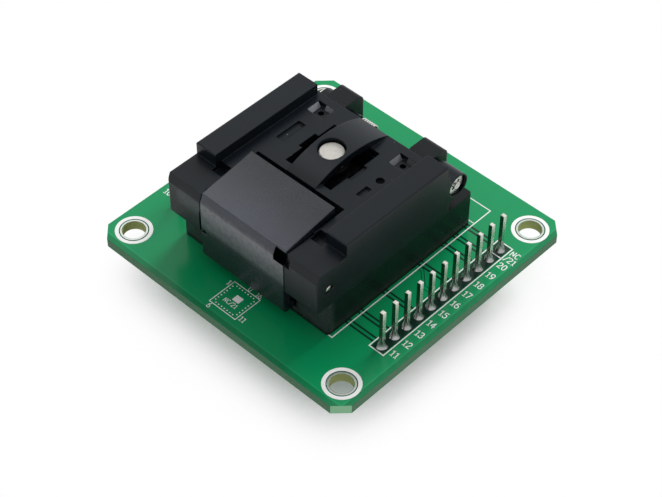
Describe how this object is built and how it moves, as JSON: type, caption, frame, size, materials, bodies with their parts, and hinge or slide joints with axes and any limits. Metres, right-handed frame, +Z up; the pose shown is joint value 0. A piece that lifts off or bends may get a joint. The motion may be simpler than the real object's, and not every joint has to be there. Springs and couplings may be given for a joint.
{
  "type": "ic programming adapter",
  "caption": "Small green adapter board with a black hinged chip socket: sprung lid, thumb latch, floating pressure pad and two rows of header pins.",
  "frame": {"origin": "centre of the board outline, at the level of the header pin tips", "axes": "+X across the board towards the right pin row, +Y from the latch to the hinge, +Z up"},
  "size_m": [0.049, 0.048, 0.0238],
  "materials": {
    "board_green": "glossy green solder mask over glass-epoxy",
    "pin_metal": "bright tinned, slightly warm",
    "strip_black": "moulded, satin",
    "solder_grey": "dull reflowed solder",
    "base_black": "moulded, fine spark texture",
    "nest_black": "moulded, smooth",
    "contact_gold": "gold plated",
    "shaft_steel": "bright drawn",
    "spring_steel": "bright wire",
    "lid_black": "moulded, fine spark texture",
    "latch_black": "moulded, satin thumb plate",
    "slug_metal": "dull blasted",
    "retainer_steel": "rolled"
  },
  "bodies": {
    "board": {"circuit_board": "board_green", "header_pins_left": "pin_metal", "header_pins_right": "pin_metal", "header_strip_left": "strip_black", "header_strip_right": "strip_black", "header_solder_left": "solder_grey", "header_solder_right": "solder_grey", "tail_solder": "solder_grey", "socket_base": "base_black", "chip_nest": "nest_black", "contacts_front": "contact_gold", "contacts_back": "contact_gold", "contacts_left": "contact_gold", "contacts_right": "contact_gold", "ground_contact": "contact_gold", "hinge_shaft": "shaft_steel", "hinge_clip_left": "shaft_steel", "hinge_clip_right": "shaft_steel", "hinge_spring": "spring_steel"},
    "lid": {"lid_frame": "lid_black", "pad_retainer": "retainer_steel", "retainer_screws": "shaft_steel", "latch_pin": "shaft_steel", "latch_spring_left": "spring_steel", "latch_spring_right": "spring_steel", "pad_springs": "spring_steel"},
    "latch": {"latch_lever": "latch_black"},
    "pad": {"pressure_pad": "nest_black", "pad_slug": "slug_metal"}
  },
  "joints": [
    {"name": "lid_hinge", "type": "hinge", "parent": "board", "child": "lid", "pos_m": [-0.0007, 0.0112, 0.0186], "axis": [-1, 0, 0], "range_deg": [0, 100], "deforming": ["hinge_spring"]},
    {"name": "latch_pivot", "type": "hinge", "parent": "lid", "child": "latch", "pos_m": [-0.0007, -0.0152, 0.0178], "axis": [-1, 0, 0], "range_deg": [-5, 6], "stiffness_Nm_per_rad": 0.02, "springref_deg": -5, "deforming": ["latch_spring_left", "latch_spring_right"]},
    {"name": "pad_slide", "type": "slide", "parent": "lid", "child": "pad", "axis": [0, 0, 1], "range_m": [0, 0.0004], "stiffness_N_per_m": 200, "springref_m": -0.0005, "deforming": ["pad_springs"]}
  ]
}
